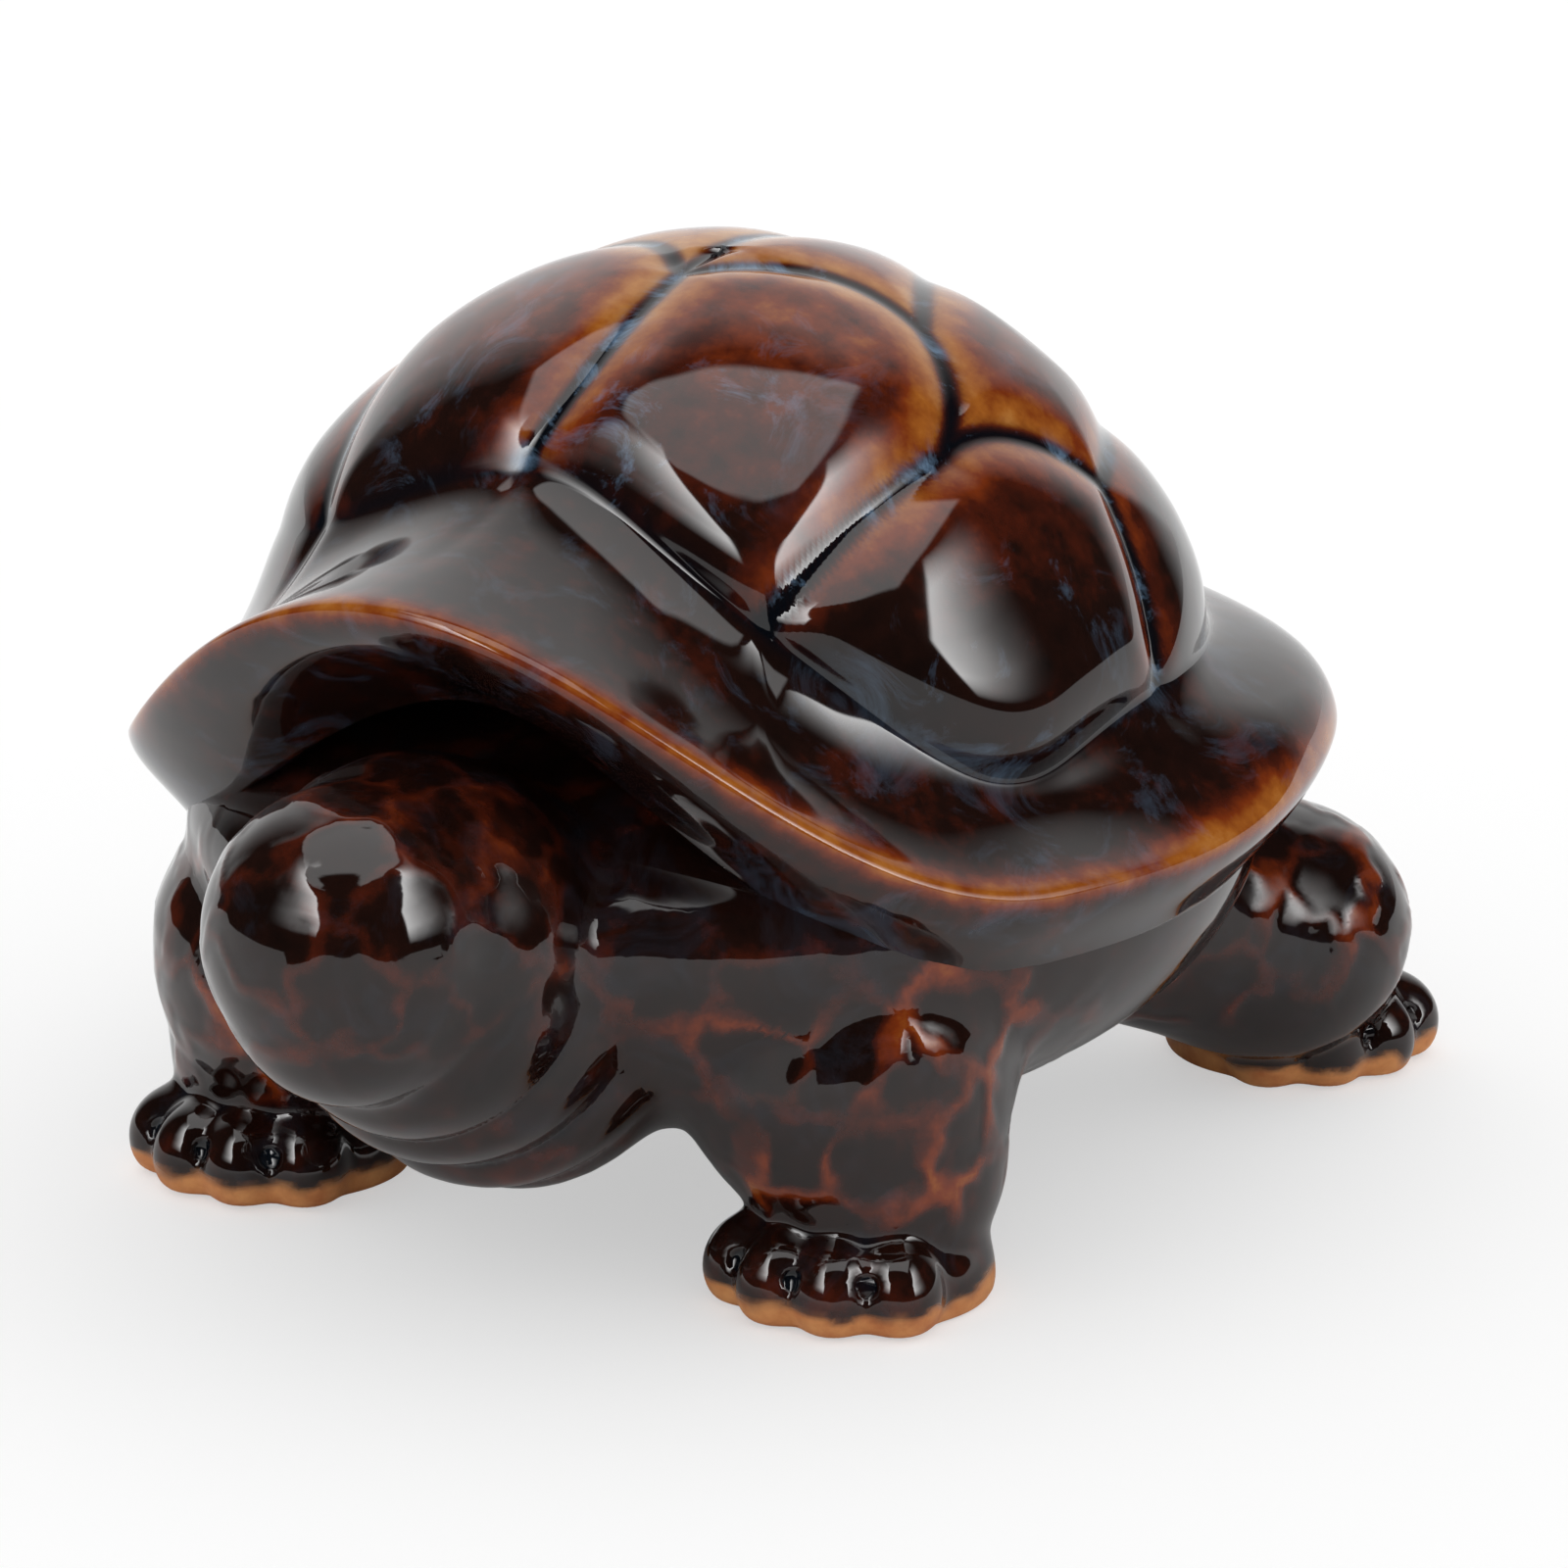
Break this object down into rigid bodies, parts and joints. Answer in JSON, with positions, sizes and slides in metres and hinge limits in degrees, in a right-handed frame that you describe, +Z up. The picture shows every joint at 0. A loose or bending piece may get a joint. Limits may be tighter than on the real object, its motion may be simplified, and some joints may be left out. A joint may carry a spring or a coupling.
{
  "type": "turtle figurine",
  "caption": "Standing turtle ornament in dark kiln-change glaze, with a high domed shell, grooved scutes, arched flaring brim, round head and toed feet.",
  "frame": {"origin": "on the table, under the middle of the ornament's length and width", "axes": "+Z up, head towards -Y, tail towards +Y, the turtle's left on +X"},
  "size_m": [0.0794, 0.1024, 0.063],
  "materials": {
    "glaze": "glossy black-brown kiln-change glaze that breaks amber on raised edges, with blue streaks in the grooves and bare tan clay at the soles"
  },
  "bodies": {
    "root": {"carapace": "glaze", "body": "glaze", "head": "glaze", "front_left_leg": "glaze", "front_right_leg": "glaze", "rear_left_leg": "glaze", "rear_right_leg": "glaze", "tail": "glaze"}
  },
  "joints": []
}
